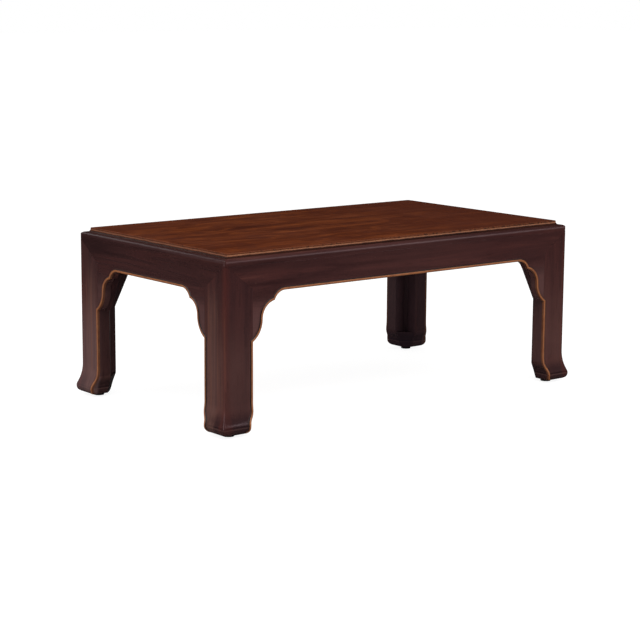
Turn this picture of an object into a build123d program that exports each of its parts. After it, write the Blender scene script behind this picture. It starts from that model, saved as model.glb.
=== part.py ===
"""Kang table: a waistless low table with cusped aprons and out-curling feet.

Four L-section legs carry four mitred aprons and a mitred top frame, and a veneered panel
with moulded lippings sits proud of the frame. Every part is its own solid, in millimetres,
+Z up, with the origin on the floor under the middle of the table and +X along its length.
"""
from build123d import *
from math import cos, radians, sin
import os

# ---------------------------------------------------------------- driving dimensions
LENGTH = 1071.0            # over the faces of the end aprons
DEPTH = 609.0              # over the faces of the long aprons
HEIGHT = 417.0             # floor to the top of the veneer

LEG_WIDTH = 76.0           # width of a leg's face on the long sides
LEG_END_WIDTH = 79.5       # width of a leg's face on the ends
FLANGE = 38.0              # thickness of each limb of the L-section leg
CORNER_RADIUS = 7.0        # rounded outer corner of legs and frame
CORNER_FACETS = 2          # flats that round the leg's outer corner
ARRIS_CHAMFER = 6.0        # eased inner arrises of the limbs
FOOT_TOP = 80.0            # height where the foot starts to curl out
CURL_REACH = 10.2          # how far the hollow of the curl has carried the foot outwards
CURL_HEIGHT = 30.0         # height where the hollow turns into the rolled toe
TOE_UNDER = 1.0            # how far the sole's front edge lies in from the shaft's face
HEEL_TOP = 62.0            # height where the inner edge starts to tuck in
HEEL_LOW = 20.0            # height where it is upright again
HEEL_REACH = 13.3          # how far it has tucked in by then
SOLE_REACH = 24.0          # and at the sole
SOLE_HEIGHT = 7.0          # height of the sole, carried by the glide
NOTCH_FLOOR = 52.0         # height where the cut-away inner corner ends in the foot
FOOT_DIAGONAL = 95.0       # the foot's cut inner corner at the sole, both ways added
FOOT_BLEND = 60.0          # height where that cut has run out to the limbs
TENON = 16.0               # side of the stub tenon that enters the top frame
TENON_HEIGHT = 8.0

APRON_THICKNESS = 20.0
APRON_LOW = 325.5          # straight lower edge of the aprons
CUSP_HEIGHT = 215.0        # where the bracket's lowest cusp meets the leg
CUSP_END_HEIGHT = 221.0    # and on the ends
SWELL_REACH = 103.2        # inward reach of the bracket's swelling
SWELL_END_REACH = 107.0
SWELL_TOP = 265.0
SWELL_END_TOP = 269.5
HOLLOW_REACH = 137.0       # inward reach of the bracket's upper cusp
HOLLOW_TOP = 304.7
BRACKET_REACH = 167.0      # where the bracket runs out into the straight edge
SHOULDER_HEIGHT = 335.7    # inner end of the mitred shoulder
SHOULDER_TIP = 5.3         # outer end of the mitred shoulder, from the corner
TONGUE_LENGTH = 12.0
TONGUE_HEIGHT = 70.0
TONGUE_MIDDLE = 290.0
TONGUE_IN = 7.0
TONGUE_THICKNESS = 8.0

BEAD_WIDTH = 6.5
BEAD_PROUD = 2.5
BEAD_SUNK = 4.0
BEAD_END = 9.0             # where the leg beads stop, just above the sole

FRAME_THICKNESS = 14.0
RAIL_WIDTH = 75.0
NOSE_WIDTH = 9.0           # horizontal reach of the frame's rounded edge
NOSE_TURN_IN = 3.0         # where the rounded edge turns over from its side to its top
NOSE_TURN_UP = 10.0
SPLINE_ALONG = 24.0
SPLINE_ACROSS = 30.0
SPLINE_THICKNESS = 4.0
SPLINE_IN = 52.0           # middle of the spline, in from both faces

PANEL_THICKNESS = 14.0
PANEL_INSET = 19.5         # arris of the raised panel, in from the frame's faces
VENEER = 1.2
LIPPING_WIDTH = 26.0
ARRIS_WIDTH = 3.0          # strip of lipping that shows beside the veneer
ARRIS_ROUND = 1.5
COVE_REACH = 4.5           # how far the cove spreads below the arris
COVE_HEIGHT = 9.5
CORE_TONGUE = 5.0
CORE_TONGUE_LOW = 4.0
CORE_TONGUE_THICKNESS = 4.0

BATTEN_WIDTH = 50.0
BATTEN_SPACING = 370.0
BATTEN_TONGUE = 12.0
CLEAT = 25.0
CLEAT_GAP = 2.0
BLOCK_HEIGHT = 50.0
BLOCK_CHAMFER = 18.0
GLIDE_RADIUS = 13.0
GLIDE_SIDES = 24
GLIDE_INSET = 30.0
NAIL_HEAD = 7.0
NAIL_HEAD_DEPTH = 1.5
NAIL_SHANK = 3.6
NAIL_TAPER = 1.2           # degrees
NAIL_RECESS = 1.5          # how deep the glide's nail is sunk

# ---------------------------------------------------------------- derived dimensions
HALF_LENGTH = LENGTH / 2
HALF_DEPTH = DEPTH / 2
FRAME_TOP = HEIGHT - PANEL_THICKNESS
FRAME_LOW = FRAME_TOP - FRAME_THICKNESS
FRAME_MIDDLE = (FRAME_TOP + FRAME_LOW) / 2
CORE_TOP = HEIGHT - VENEER
CORE_INSET = PANEL_INSET + LIPPING_WIDTH
VENEER_INSET = PANEL_INSET + ARRIS_WIDTH

os.makedirs("parts", exist_ok=True)

# ---------------------------------------------------------------- reference planes
CORNER = (-HALF_LENGTH, -HALF_DEPTH, 0)
FRONT_FACE = Plane(origin=(0, -HALF_DEPTH, 0), x_dir=(1, 0, 0), z_dir=(0, -1, 0))
LEFT_FACE = Plane(origin=(-HALF_LENGTH, 0, 0), x_dir=(0, -1, 0), z_dir=(-1, 0, 0))
LEG_FRONT = Plane(origin=CORNER, x_dir=(1, 0, 0), z_dir=(0, -1, 0))
LEG_SIDE = Plane(origin=CORNER, x_dir=(0, 1, 0), z_dir=(1, 0, 0))


class Side:
    """One side of the table: its planes, and the template of its bracket and leg face."""

    def __init__(self, face, leg_face, half, near_end, leg_width, cusp_height, swell):
        self.face = face
        self.leg_face = leg_face
        self.half = half
        self.near_end = near_end          # which end of the face the front left leg is at
        self.leg_width = leg_width
        self.cusp_height = cusp_height
        self.swell_reach, self.swell_top = swell
        self.foot = half - leg_width      # where the bracket meets the leg
        run = self.swell_reach - leg_width
        rise = self.swell_top - cusp_height
        radius = (run**2 + rise**2) / (2 * run)
        self.cusp_run = rise / radius     # the bracket's direction as it leaves the cusp
        self.cusp_rise = 1 - run / radius
        self.mitre_slope = self.cusp_run / (1 + self.cusp_rise)


LONG_SIDE = Side(
    FRONT_FACE, LEG_FRONT, HALF_LENGTH, -1, LEG_WIDTH, CUSP_HEIGHT, (SWELL_REACH, SWELL_TOP)
)
END_SIDE = Side(
    LEFT_FACE,
    LEG_SIDE,
    HALF_DEPTH,
    1,
    LEG_END_WIDTH,
    CUSP_END_HEIGHT,
    (SWELL_END_REACH, SWELL_END_TOP),
)


def plan_mitre(sign_x, sign_y):
    """Upright 45 degree plane through a corner; its normal leans along the long side."""
    origin = (sign_x * HALF_LENGTH, sign_y * HALF_DEPTH, 0)
    return Plane(origin=origin, x_dir=(0, 0, 1), z_dir=(-sign_x, sign_y, 0))


LONG_SIDE_MITRES = [(plan_mitre(-1, -1), Keep.TOP), (plan_mitre(1, -1), Keep.TOP)]
END_MITRES = [(plan_mitre(-1, -1), Keep.BOTTOM), (plan_mitre(-1, 1), Keep.BOTTOM)]


def save(builder, name):
    """Label a finished part and write it as its own file."""
    builder.part.label = name
    export_step(builder.part, f"parts/{name}.step")


def mirrored(builder, plane):
    """The same part on the other side of a plane."""
    with BuildPart() as copy:
        mirror(builder.part, about=plane)
    return copy


def cut(builder, *others):
    """The part with its neighbours' solids cut out of it, without thin offcuts."""
    with BuildPart() as trimmed:
        add(builder.part)
        for other in others:
            add(other.part, mode=Mode.SUBTRACT)
        whole = trimmed.solids().sort_by(SortBy.VOLUME)[-1]
        add(whole, mode=Mode.REPLACE)
    return trimmed


# ---------------------------------------------------------------- outlines
def bracket(side, end):
    """Cusped bracket at one end of an apron: a swelling, a hollow and a quarter turn."""
    cusp = (end * side.foot, side.cusp_height)
    swell_top = (end * (side.half - side.swell_reach), side.swell_top)
    hollow_end = (end * (side.half - HOLLOW_REACH), HOLLOW_TOP)
    run_out = (end * (side.half - BRACKET_REACH), APRON_LOW)
    TangentArc(swell_top, cusp, tangent=(0, -1))
    TangentArc(swell_top, hollow_end, tangent=(0, 1))
    TangentArc(run_out, hollow_end, tangent=(end, 0))


def apron_lower_edge(side):
    """The whole lower edge of an apron, cusp to cusp."""
    straight = side.half - BRACKET_REACH
    bracket(side, -1)
    Line((-straight, APRON_LOW), (straight, APRON_LOW))
    bracket(side, 1)


def leg_outer_edge(out, scale=1.0):
    """Leg's outer edge: straight shaft, concave curl and rolled toe down to the sole.

    scale widens the curl, as it looks when it is seen at an angle to the face.
    """
    curl = (out - scale * CURL_REACH, CURL_HEIGHT)
    sole_front = (out + scale * TOE_UNDER, SOLE_HEIGHT)
    Line((out, FRAME_LOW), (out, FOOT_TOP))
    hollow = TangentArc((out, FOOT_TOP), curl, tangent=(0, -1))
    TangentArc(curl, sole_front, tangent=hollow % 1)
    return sole_front


def leg_outline(leg_width, toe_shift=0.0, edge_shift=0.0):
    """Leg seen square on to a face: shaft, curled toe, flat sole and tucked-in heel.

    toe_shift moves the outer edge outwards and edge_shift moves the inner edge inwards.
    """
    out = -toe_shift
    inner = leg_width + edge_shift
    heel_middle = (inner - HEEL_REACH / 2, (HEEL_TOP + HEEL_LOW) / 2)
    heel_low = (inner - HEEL_REACH, HEEL_LOW)
    sole_back = (inner - SOLE_REACH, SOLE_HEIGHT)
    sole_front = leg_outer_edge(out)
    Line(sole_front, sole_back)
    TangentArc(heel_low, sole_back, tangent=(0, -1))
    TangentArc(heel_low, heel_middle, tangent=(0, 1))
    TangentArc((inner, HEEL_TOP), heel_middle, tangent=(0, -1))
    Polyline((inner, HEEL_TOP), (inner, FRAME_LOW), (out, FRAME_LOW))


def corner_facet_outline(turn):
    """Outline that a flat of the rounded corner follows, turned away from the leg's face."""
    scale = cos(turn) + sin(turn)
    out = CORNER_RADIUS * (scale - 1)
    inside = 2 * LEG_END_WIDTH
    sole_front = leg_outer_edge(out, scale)
    Polyline(sole_front, (inside, SOLE_HEIGHT), (inside, FRAME_LOW), (out, FRAME_LOW))


# ---------------------------------------------------------------- dark hardwood: aprons
def make_apron(side, mitres):
    """Apron with bracketed ends, mitred shoulders and a tongue that enters each leg."""
    tip = side.half - SHOULDER_TIP
    with BuildPart() as apron:
        with BuildSketch(side.face):
            with BuildLine():
                apron_lower_edge(side)
                for end in (-1, 1):
                    Polyline(
                        (end * side.foot, side.cusp_height),
                        (end * side.foot, SHOULDER_HEIGHT),
                        (end * tip, FRAME_LOW),
                    )
                Line((-tip, FRAME_LOW), (tip, FRAME_LOW))
            make_face()
        extrude(amount=-APRON_THICKNESS)
        with BuildSketch(side.face.offset(-TONGUE_IN)):
            for end in (-1, 1):
                with Locations((end * (side.foot + TONGUE_LENGTH / 2), TONGUE_MIDDLE)):
                    Rectangle(TONGUE_LENGTH, TONGUE_HEIGHT)
        extrude(amount=-TONGUE_THICKNESS)
        for mitre, kept in mitres:
            split(bisect_by=mitre, keep=kept)
    return apron


# ---------------------------------------------------------------- tan wood: beads
def bead_mitre(side, end):
    """Plane through the lowest cusp that parts the apron's bead from the leg's bead."""
    cusp = side.face.from_local_coords((end * side.foot, side.cusp_height, 0))
    outward = side.face.z_dir
    run = side.face.x_dir * end + Vector(0, 0, side.mitre_slope)
    return Plane(origin=cusp, x_dir=outward, z_dir=outward.cross(run) * end)


def make_apron_bead(side):
    """Bead let into the lower arris of an apron, following its cusps."""
    low = side.cusp_height - 5 * BEAD_WIDTH
    high = FRAME_TOP + 5 * BEAD_WIDTH
    with BuildPart() as bead:
        with BuildSketch(side.face.offset(BEAD_PROUD)):
            with BuildLine():
                apron_lower_edge(side)
                for end in (-1, 1):
                    Polyline(
                        (end * side.foot, side.cusp_height),
                        (end * side.foot, low),
                        (end * side.half, low),
                        (end * side.half, high),
                    )
                Line((-side.half, high), (side.half, high))
            make_face()
            offset(amount=-BEAD_WIDTH, kind=Kind.ARC, mode=Mode.SUBTRACT)
            with Locations((0, (low + FRAME_LOW) / 2)):
                Rectangle(
                    2 * (side.foot + BEAD_WIDTH), FRAME_LOW - low, mode=Mode.INTERSECT
                )
            for end in (-1, 1):
                with BuildLine():
                    mitre_corner(side, end)
                make_face()
        extrude(amount=-(BEAD_PROUD + BEAD_SUNK))
        for end in (-1, 1):
            split(bisect_by=bead_mitre(side, end), keep=Keep.TOP)
    return bead


def mitre_corner(side, end):
    """Sharp outer corner that the bead has at its mitre."""
    foot = side.foot
    cusp = side.cusp_height
    Polyline(
        (end * foot, cusp),
        (end * (foot + BEAD_WIDTH), cusp),
        (end * (foot + BEAD_WIDTH), cusp + BEAD_WIDTH * side.mitre_slope),
        (end * (foot + BEAD_WIDTH * side.cusp_rise), cusp + BEAD_WIDTH * side.cusp_run),
        (end * foot, cusp),
    )


def make_leg_bead(side, other_side):
    """Bead down the inner edge of one face of the front left leg, curling with the foot."""
    with BuildPart() as bead:
        with BuildSketch(side.leg_face):
            with BuildLine():
                leg_outline(side.leg_width)
            make_face()
            with BuildLine():
                leg_outline(side.leg_width, edge_shift=-BEAD_WIDTH)
            make_face(mode=Mode.SUBTRACT)
        extrude(amount=DEPTH, both=True)
        with BuildSketch(other_side.leg_face):
            with BuildLine():
                leg_outline(other_side.leg_width, toe_shift=BEAD_PROUD)
            make_face()
            with BuildLine():
                leg_outline(other_side.leg_width, toe_shift=-BEAD_SUNK)
            make_face(mode=Mode.SUBTRACT)
        extrude(amount=DEPTH, both=True, mode=Mode.INTERSECT)
        split(bisect_by=bead_mitre(side, side.near_end), keep=Keep.BOTTOM)
        split(bisect_by=Plane.XY.offset(BEAD_END), keep=Keep.TOP)
    return bead


# ---------------------------------------------------------------- dark hardwood: legs
def make_leg_section():
    """L-section limbs with eased inner arrises, solid below the notch."""
    with BuildPart() as section:
        with BuildSketch():
            with Locations(CORNER):
                Rectangle(2 * LEG_WIDTH, 2 * LEG_END_WIDTH)
        extrude(amount=NOTCH_FLOOR)
        with BuildSketch(Plane.XY.offset(NOTCH_FLOOR)) as plan:
            with Locations(CORNER):
                Rectangle(2 * LEG_WIDTH, 2 * LEG_END_WIDTH)
            with Locations((FLANGE - HALF_LENGTH, FLANGE - HALF_DEPTH)):
                Rectangle(
                    LEG_WIDTH, LEG_END_WIDTH, align=(Align.MIN, Align.MIN), mode=Mode.SUBTRACT
                )
            limb_arrises = plan.vertices().filter_by_position(
                Axis.X, -HALF_LENGTH, HALF_LENGTH
            )
            limb_arrises = limb_arrises.filter_by_position(Axis.Y, -HALF_DEPTH, HALF_DEPTH)
            chamfer(limb_arrises, length=ARRIS_CHAMFER)
        extrude(amount=FRAME_LOW - NOTCH_FLOOR)
    return section


def make_leg():
    """Front left leg: both profiles crossed, hollowed to an L, with a stub tenon on top."""
    section = make_leg_section()
    lean = (LEG_END_WIDTH + FLANGE - FOOT_DIAGONAL) / (FOOT_BLEND - SOLE_HEIGHT)
    cut_middle = Vector(FOOT_DIAGONAL / 2, FOOT_DIAGONAL / 2, SOLE_HEIGHT)
    foot_cut = Plane(
        origin=Vector(CORNER) + cut_middle, x_dir=(1, -1, 0), z_dir=(1, 1, -lean)
    )
    tenon_middle = FLANGE - TENON / 2 - 1.0
    with BuildPart() as leg:
        with BuildSketch(LEG_FRONT):
            with BuildLine():
                leg_outline(LEG_WIDTH)
            make_face()
        extrude(amount=DEPTH, both=True)
        with BuildSketch(LEG_SIDE):
            with BuildLine():
                leg_outline(LEG_END_WIDTH)
            make_face()
        extrude(amount=DEPTH, both=True, mode=Mode.INTERSECT)
        for facet in range(1, CORNER_FACETS + 1):
            turn = radians(90.0 * facet / (CORNER_FACETS + 1))
            inward = (cos(turn), sin(turn), 0)
            along = (sin(turn), -cos(turn), 0)
            with BuildSketch(Plane(origin=CORNER, x_dir=inward, z_dir=along)):
                with BuildLine():
                    corner_facet_outline(turn)
                make_face()
            extrude(amount=DEPTH, both=True, mode=Mode.INTERSECT)
        add(section.part, mode=Mode.INTERSECT)
        split(bisect_by=foot_cut, keep=Keep.BOTTOM)
        with Locations((tenon_middle - HALF_LENGTH, tenon_middle - HALF_DEPTH, FRAME_LOW)):
            Box(TENON, TENON, TENON_HEIGHT, align=(Align.CENTER, Align.CENTER, Align.MIN))
    return leg


# ---------------------------------------------------------------- top frame and lippings
def make_moulding(draw_section, half, face_in, mitres):
    """Straight moulding along one side of the top, mitred at both ends.

    draw_section draws the section; its local x runs inwards from the face.
    """
    with BuildPart() as moulding:
        with BuildSketch(face_in):
            with BuildLine():
                draw_section()
            make_face()
        extrude(amount=half, both=True)
        for mitre, kept in mitres:
            split(bisect_by=mitre, keep=kept)
    return moulding


def rail_section():
    """Frame rail: a full rounded edge over a square back."""
    turn = (NOSE_TURN_IN, FRAME_LOW + NOSE_TURN_UP)
    side = TangentArc((0, FRAME_LOW), turn, tangent=(0, 1))
    TangentArc(turn, (NOSE_WIDTH, FRAME_TOP), tangent=side % 1)
    Polyline(
        (0, FRAME_LOW),
        (RAIL_WIDTH, FRAME_LOW),
        (RAIL_WIDTH, FRAME_TOP),
        (NOSE_WIDTH, FRAME_TOP),
    )


def lipping_section():
    """Lipping: a cove that spreads to a foot, an eased arris, and a seat for the veneer."""
    foot = PANEL_INSET - COVE_REACH
    foot_top = FRAME_TOP + 1.5
    cove_top = FRAME_TOP + COVE_HEIGHT
    back = PANEL_INSET + LIPPING_WIDTH
    Line((foot, FRAME_TOP), (foot, foot_top))
    ThreePointArc(
        (foot, foot_top), (PANEL_INSET - 1.1, FRAME_TOP + 4.8), (PANEL_INSET, cove_top)
    )
    Line((PANEL_INSET, cove_top), (PANEL_INSET, HEIGHT - ARRIS_ROUND))
    RadiusArc(
        (PANEL_INSET, HEIGHT - ARRIS_ROUND),
        (PANEL_INSET + ARRIS_ROUND, HEIGHT),
        ARRIS_ROUND,
    )
    Polyline(
        (PANEL_INSET + ARRIS_ROUND, HEIGHT),
        (VENEER_INSET, HEIGHT),
        (VENEER_INSET, CORE_TOP),
        (back, CORE_TOP),
        (back, FRAME_TOP),
        (foot, FRAME_TOP),
    )


FRONT_SECTION = Plane(origin=(0, -HALF_DEPTH, 0), x_dir=(0, 1, 0), z_dir=(1, 0, 0))
LEFT_SECTION = Plane(origin=(-HALF_LENGTH, 0, 0), x_dir=(1, 0, 0), z_dir=(0, -1, 0))


def rounded_corners(builder):
    """A frame rail with the table's rounded plan corners."""
    with BuildPart() as rounded:
        with BuildSketch(Plane.XY.offset(FRAME_LOW)):
            RectangleRounded(LENGTH, DEPTH, CORNER_RADIUS)
        extrude(amount=FRAME_THICKNESS)
        add(builder.part, mode=Mode.INTERSECT)
    return rounded


def make_frame_splines():
    """Loose tongues across the four mitres of the top frame."""
    with BuildPart() as splines:
        with BuildSketch(Plane.XY.offset(FRAME_MIDDLE - SPLINE_THICKNESS / 2)):
            with Locations((SPLINE_IN - HALF_LENGTH, SPLINE_IN - HALF_DEPTH)):
                Rectangle(SPLINE_ALONG, SPLINE_ACROSS, rotation=45)
        extrude(amount=SPLINE_THICKNESS)
        mirror(about=Plane.YZ)
        mirror(about=Plane.XZ)
    return splines


def make_core():
    """Board under the veneer, tongued into the lippings all round."""
    length = LENGTH - 2 * CORE_INSET
    depth = DEPTH - 2 * CORE_INSET
    with BuildPart() as core:
        with BuildSketch(Plane.XY.offset(FRAME_TOP)):
            Rectangle(length, depth)
        extrude(amount=CORE_TOP - FRAME_TOP)
        with BuildSketch(Plane.XY.offset(FRAME_TOP + CORE_TONGUE_LOW)):
            Rectangle(length + 2 * CORE_TONGUE, depth + 2 * CORE_TONGUE)
        extrude(amount=CORE_TONGUE_THICKNESS)
    return core


def make_veneer():
    """Single sheet of veneer inside the lippings' arris."""
    with BuildPart() as veneer:
        with BuildSketch(Plane.XY.offset(CORE_TOP)):
            Rectangle(LENGTH - 2 * VENEER_INSET, DEPTH - 2 * VENEER_INSET)
        extrude(amount=VENEER)
    return veneer


def make_batten():
    """Cross batten tenoned between the long rails, under the core."""
    span = DEPTH - 2 * RAIL_WIDTH
    with BuildPart() as batten:
        with BuildSketch(Plane.XY.offset(FRAME_LOW)):
            with Locations((-BATTEN_SPACING / 2, 0)):
                Rectangle(BATTEN_WIDTH, span)
        extrude(amount=FRAME_THICKNESS)
        with BuildSketch(Plane.XY.offset(FRAME_MIDDLE - SPLINE_THICKNESS / 2)):
            with Locations((-BATTEN_SPACING / 2, 0)):
                Rectangle(BATTEN_WIDTH - 10.0, span + 2 * BATTEN_TONGUE)
        extrude(amount=SPLINE_THICKNESS)
    return batten


# ---------------------------------------------------------------- plain wood: strengthening
def make_corner_block():
    """Block glued and nailed into the notch at the top of the front left leg."""
    low = FRAME_LOW - BLOCK_HEIGHT
    with BuildPart() as block:
        with BuildSketch(Plane.XY.offset(low)) as plan:
            with Locations((FLANGE - HALF_LENGTH, FLANGE - HALF_DEPTH)):
                Rectangle(
                    LEG_WIDTH - FLANGE, LEG_END_WIDTH - FLANGE, align=(Align.MIN, Align.MIN)
                )
            inner = plan.vertices().sort_by(Axis.X).sort_by(Axis.Y)[-1]
            chamfer(inner, length=BLOCK_CHAMFER)
            notch_corner = plan.vertices().sort_by_distance(CORNER)[0]
            chamfer(notch_corner, length=ARRIS_CHAMFER)
        extrude(amount=BLOCK_HEIGHT)
    return block


def make_cleat(side):
    """Square strip in the corner between an apron and the top frame."""
    with BuildPart() as cleat:
        with BuildSketch(side.face.offset(-APRON_THICKNESS)):
            with Locations((0, FRAME_LOW - CLEAT / 2)):
                Rectangle(2 * (side.foot - CLEAT_GAP), CLEAT)
        extrude(amount=-CLEAT)
    return cleat


# ---------------------------------------------------------------- glides and fixings
def make_glide():
    """Round glide under the front left foot, recessed for the nail's head."""
    middle = (GLIDE_INSET - HALF_LENGTH, GLIDE_INSET - HALF_DEPTH)
    with BuildPart() as glide:
        with BuildSketch():
            with Locations(middle):
                RegularPolygon(GLIDE_RADIUS, GLIDE_SIDES)
        extrude(amount=SOLE_HEIGHT)
        with BuildSketch():
            with Locations(middle):
                Rectangle(NAIL_HEAD, NAIL_HEAD)
        extrude(amount=NAIL_RECESS, mode=Mode.SUBTRACT)
    return glide


def make_nail(length):
    """Square cut nail: flat head at the origin, tapered shank upwards."""
    with BuildPart() as nail:
        with BuildSketch():
            Rectangle(NAIL_HEAD, NAIL_HEAD)
        extrude(amount=NAIL_HEAD_DEPTH)
        with BuildSketch(Plane.XY.offset(NAIL_HEAD_DEPTH)):
            Rectangle(NAIL_SHANK, NAIL_SHANK)
        extrude(amount=length - NAIL_HEAD_DEPTH, taper=NAIL_TAPER)
    return nail


def place_nails(nail, spots):
    """Copies of a nail at spots in the front left quarter, repeated in the other three.

    Each spot is (inward from the left face, inward from the front face, height) and the
    direction in which the nail's point goes in.
    """
    with BuildPart() as group:
        for position, x_dir, direction in spots:
            origin = Vector(CORNER) + Vector(position)
            with Locations(Plane(origin=origin, x_dir=x_dir, z_dir=direction)):
                add(nail.part)
        mirror(about=Plane.YZ)
        mirror(about=Plane.XZ)
    return group


UP = ((1, 0, 0), (0, 0, 1))
TO_FRONT = ((1, 0, 0), (0, -1, 0))
TO_LEFT = ((0, 1, 0), (-1, 0, 0))

glide_nails = place_nails(
    make_nail(26.0), [((GLIDE_INSET, GLIDE_INSET, NAIL_RECESS), *UP)]
)

block_nail_in = (FLANGE + LEG_WIDTH - BLOCK_CHAMFER) / 2
corner_block_nails = place_nails(
    make_nail(50.0),
    [
        ((block_nail_in, LEG_END_WIDTH, FRAME_LOW - 0.7 * BLOCK_HEIGHT), *TO_FRONT),
        ((LEG_WIDTH, block_nail_in, FRAME_LOW - 0.3 * BLOCK_HEIGHT), *TO_LEFT),
    ],
)

cleat_middle = APRON_THICKNESS + CLEAT / 2
cleat_low = FRAME_LOW - CLEAT
cleat_nails = place_nails(
    make_nail(CLEAT + 9.0),
    [
        ((HALF_LENGTH - 350.0, cleat_middle, cleat_low), *UP),
        ((HALF_LENGTH - 120.0, cleat_middle, cleat_low), *UP),
        ((cleat_middle, HALF_DEPTH - 120.0, cleat_low), *UP),
    ],
)

top_nail = make_nail(FRAME_THICKNESS + 8.0)
batten_in = HALF_LENGTH - BATTEN_SPACING / 2
batten_nails = place_nails(top_nail, [((batten_in, HALF_DEPTH - 120.0, FRAME_LOW), *UP)])
top_nail_in = (CORE_INSET + RAIL_WIDTH) / 2
top_nails = place_nails(
    top_nail,
    [
        ((HALF_LENGTH - 300.0, top_nail_in, FRAME_LOW), *UP),
        ((top_nail_in, HALF_DEPTH - 90.0, FRAME_LOW), *UP),
    ],
)

# ---------------------------------------------------------------- assembly
front_bead = make_apron_bead(LONG_SIDE)
left_bead = make_apron_bead(END_SIDE)
front_apron = cut(make_apron(LONG_SIDE, LONG_SIDE_MITRES), front_bead)
left_apron = cut(make_apron(END_SIDE, END_MITRES), left_bead)

leg_front_bead = make_leg_bead(LONG_SIDE, END_SIDE)
leg_end_bead = make_leg_bead(END_SIDE, LONG_SIDE)
leg = cut(
    make_leg(),
    front_apron,
    left_apron,
    front_bead,
    left_bead,
    leg_front_bead,
    leg_end_bead,
    corner_block_nails,
    glide_nails,
)
corner_block = cut(make_corner_block(), corner_block_nails)
glide = cut(make_glide(), glide_nails)

front_cleat = cut(make_cleat(LONG_SIDE), cleat_nails)
left_cleat = cut(make_cleat(END_SIDE), cleat_nails)

frame_splines = make_frame_splines()
left_batten = cut(make_batten(), batten_nails)
right_batten = mirrored(left_batten, Plane.YZ)
right_leg = mirrored(leg, Plane.YZ)
back_leg = mirrored(leg, Plane.XZ)
front_rail = cut(
    rounded_corners(
        make_moulding(rail_section, HALF_LENGTH, FRONT_SECTION, LONG_SIDE_MITRES)
    ),
    leg,
    right_leg,
    frame_splines,
    left_batten,
    right_batten,
    cleat_nails,
    top_nails,
)
left_rail = cut(
    rounded_corners(make_moulding(rail_section, HALF_DEPTH, LEFT_SECTION, END_MITRES)),
    leg,
    back_leg,
    frame_splines,
    cleat_nails,
    top_nails,
)

uncut_core = make_core()
core = cut(uncut_core, batten_nails, top_nails)
front_lipping = cut(
    make_moulding(lipping_section, HALF_LENGTH, FRONT_SECTION, LONG_SIDE_MITRES), uncut_core
)
left_lipping = cut(
    make_moulding(lipping_section, HALF_DEPTH, LEFT_SECTION, END_MITRES), uncut_core
)

# ---------------------------------------------------------------- files
ACROSS = Plane.XZ          # front to back
ALONG = Plane.YZ           # left to right

long_side_parts = {
    "apron": front_apron,
    "apron_bead": front_bead,
    "cleat": front_cleat,
    "frame_rail": front_rail,
    "lipping": front_lipping,
}
for name, part in long_side_parts.items():
    save(part, f"front_{name}")
    save(mirrored(part, ACROSS), f"back_{name}")

end_parts = {
    "apron": left_apron,
    "apron_bead": left_bead,
    "cleat": left_cleat,
    "frame_rail": left_rail,
    "lipping": left_lipping,
    "batten": left_batten,
}
for name, part in end_parts.items():
    save(part, f"left_{name}")
    save(mirrored(part, ALONG), f"right_{name}")

corner_parts = {
    "leg": leg,
    "leg_face_bead": leg_front_bead,
    "leg_end_bead": leg_end_bead,
    "corner_block": corner_block,
    "glide": glide,
}
for name, part in corner_parts.items():
    back_part = mirrored(part, ACROSS)
    save(part, f"front_left_{name}")
    save(mirrored(part, ALONG), f"front_right_{name}")
    save(back_part, f"back_left_{name}")
    save(mirrored(back_part, ALONG), f"back_right_{name}")

save(core, "top_core")
save(make_veneer(), "top_veneer")
save(frame_splines, "frame_splines")
save(glide_nails, "glide_nails")
save(corner_block_nails, "corner_block_nails")
save(cleat_nails, "cleat_nails")
save(batten_nails, "batten_nails")
save(top_nails, "top_nails")
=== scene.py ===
"""Kang table: dark lacquered frame, figured veneer top and tan beads round the openings."""
import bpy
import math
from mathutils import Matrix, Vector


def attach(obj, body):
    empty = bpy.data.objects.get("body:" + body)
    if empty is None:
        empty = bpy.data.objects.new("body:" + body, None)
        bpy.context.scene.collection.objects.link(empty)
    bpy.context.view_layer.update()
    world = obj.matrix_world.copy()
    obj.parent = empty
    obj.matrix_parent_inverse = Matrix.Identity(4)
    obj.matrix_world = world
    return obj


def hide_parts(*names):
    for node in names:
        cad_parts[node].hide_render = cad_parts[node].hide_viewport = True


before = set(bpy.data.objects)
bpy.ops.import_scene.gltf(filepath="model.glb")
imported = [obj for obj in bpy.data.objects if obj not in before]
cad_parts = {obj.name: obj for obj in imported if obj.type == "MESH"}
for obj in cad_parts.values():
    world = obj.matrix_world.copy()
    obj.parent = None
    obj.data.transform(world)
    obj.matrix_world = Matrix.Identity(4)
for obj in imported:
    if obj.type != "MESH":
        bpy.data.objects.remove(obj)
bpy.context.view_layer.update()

# ---------------------------------------------------------------- sizes, in metres
# The table over its aprons. Widths are measured inwards from there, heights from the floor.
HALF_LENGTH = 0.5355
HALF_DEPTH = 0.3045
HEIGHT = 0.417
# frame of the top, with its rounded nose and the cove above it
FRAME_LOW = 0.389
FRAME_TOP = 0.403
RAIL_WIDTH = 0.075
RAIL_EASE = 0.0005
CORNER_RADIUS = 0.007
NOSE_LOW = 0.3965
NOSE_RADIUS = 0.010
COVE_FOOT = 0.0152
COVE_TOP = 0.4143
# raised panel: lippings round a veneer
PANEL_INSET = 0.0195
PANEL_ARRIS_LOW = 0.4155
PANEL_ARRIS_WIDTH = 0.0015
LIPPING_WIDTH = 0.026
VENEER_INSET = 0.003
VENEER_LOW = 0.4158
# aprons and the brackets at their ends
APRON_THICKNESS = 0.020
APRON_LOW = 0.3255
APRON_EASE = 0.0004
BRACKET_REACH = 0.167
HOLLOW_REACH = 0.137
HOLLOW_LOW = 0.3047
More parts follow.
